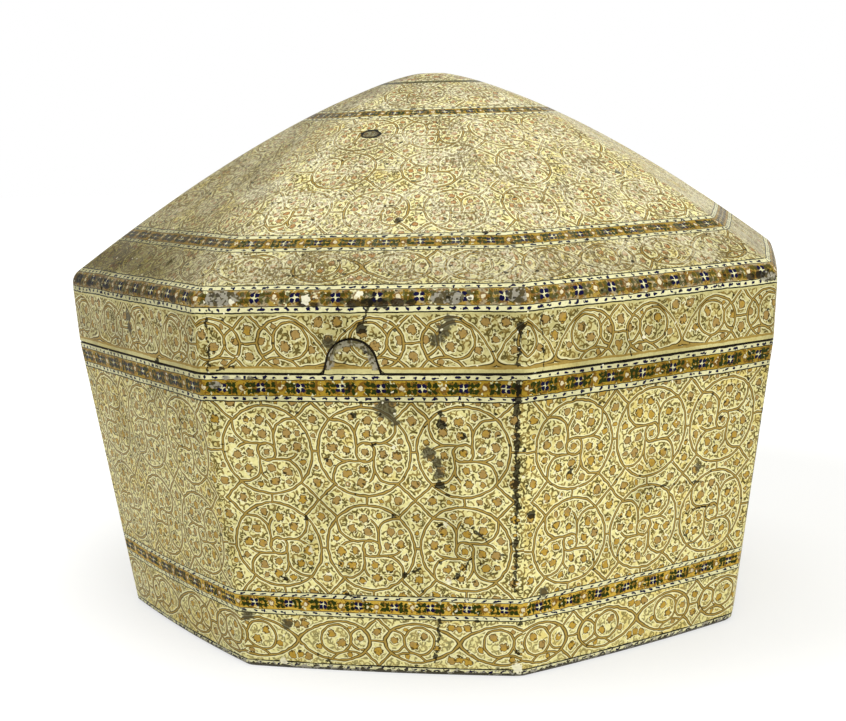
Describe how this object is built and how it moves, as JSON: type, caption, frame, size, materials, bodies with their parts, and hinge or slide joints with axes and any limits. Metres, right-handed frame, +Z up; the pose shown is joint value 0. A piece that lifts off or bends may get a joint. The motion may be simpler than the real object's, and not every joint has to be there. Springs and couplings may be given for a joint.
{
  "type": "papier mache box",
  "caption": "Eight-sided tapered paper-pulp box with a lift-off domed lid, an inner collar and a front tongue that sets the lid's position, painted with fine scrollwork.",
  "frame": {"origin": "centre of the foot, on the surface that the box stands on", "axes": "+Z up through the crown of the lid, -Y out of the front face that has the tongue, +X to the right as seen from the front"},
  "size_m": [0.2788, 0.2788, 0.2142],
  "materials": {
    "painted_outside": "pulp shell, painted with fine brown and gold scrollwork on cream, aged satin varnish",
    "pasteboard": "pasted board, stained dark brown, matt",
    "lining_paper": "thin plain red-brown paper, matt"
  },
  "bodies": {
    "body": {"body_wall": "painted_outside", "floor_board": "pasteboard", "floor_lining": "lining_paper", "wall_lining": "lining_paper", "mouth_collar": "pasteboard"},
    "lid": {"lid_skirt": "painted_outside", "lid_roof": "painted_outside", "roof_lining": "lining_paper"}
  },
  "joints": [
    {"name": "lid_lift", "type": "slide", "parent": "body", "child": "lid", "axis": [0, 0, 1], "range_m": [0, 0.15]}
  ]
}
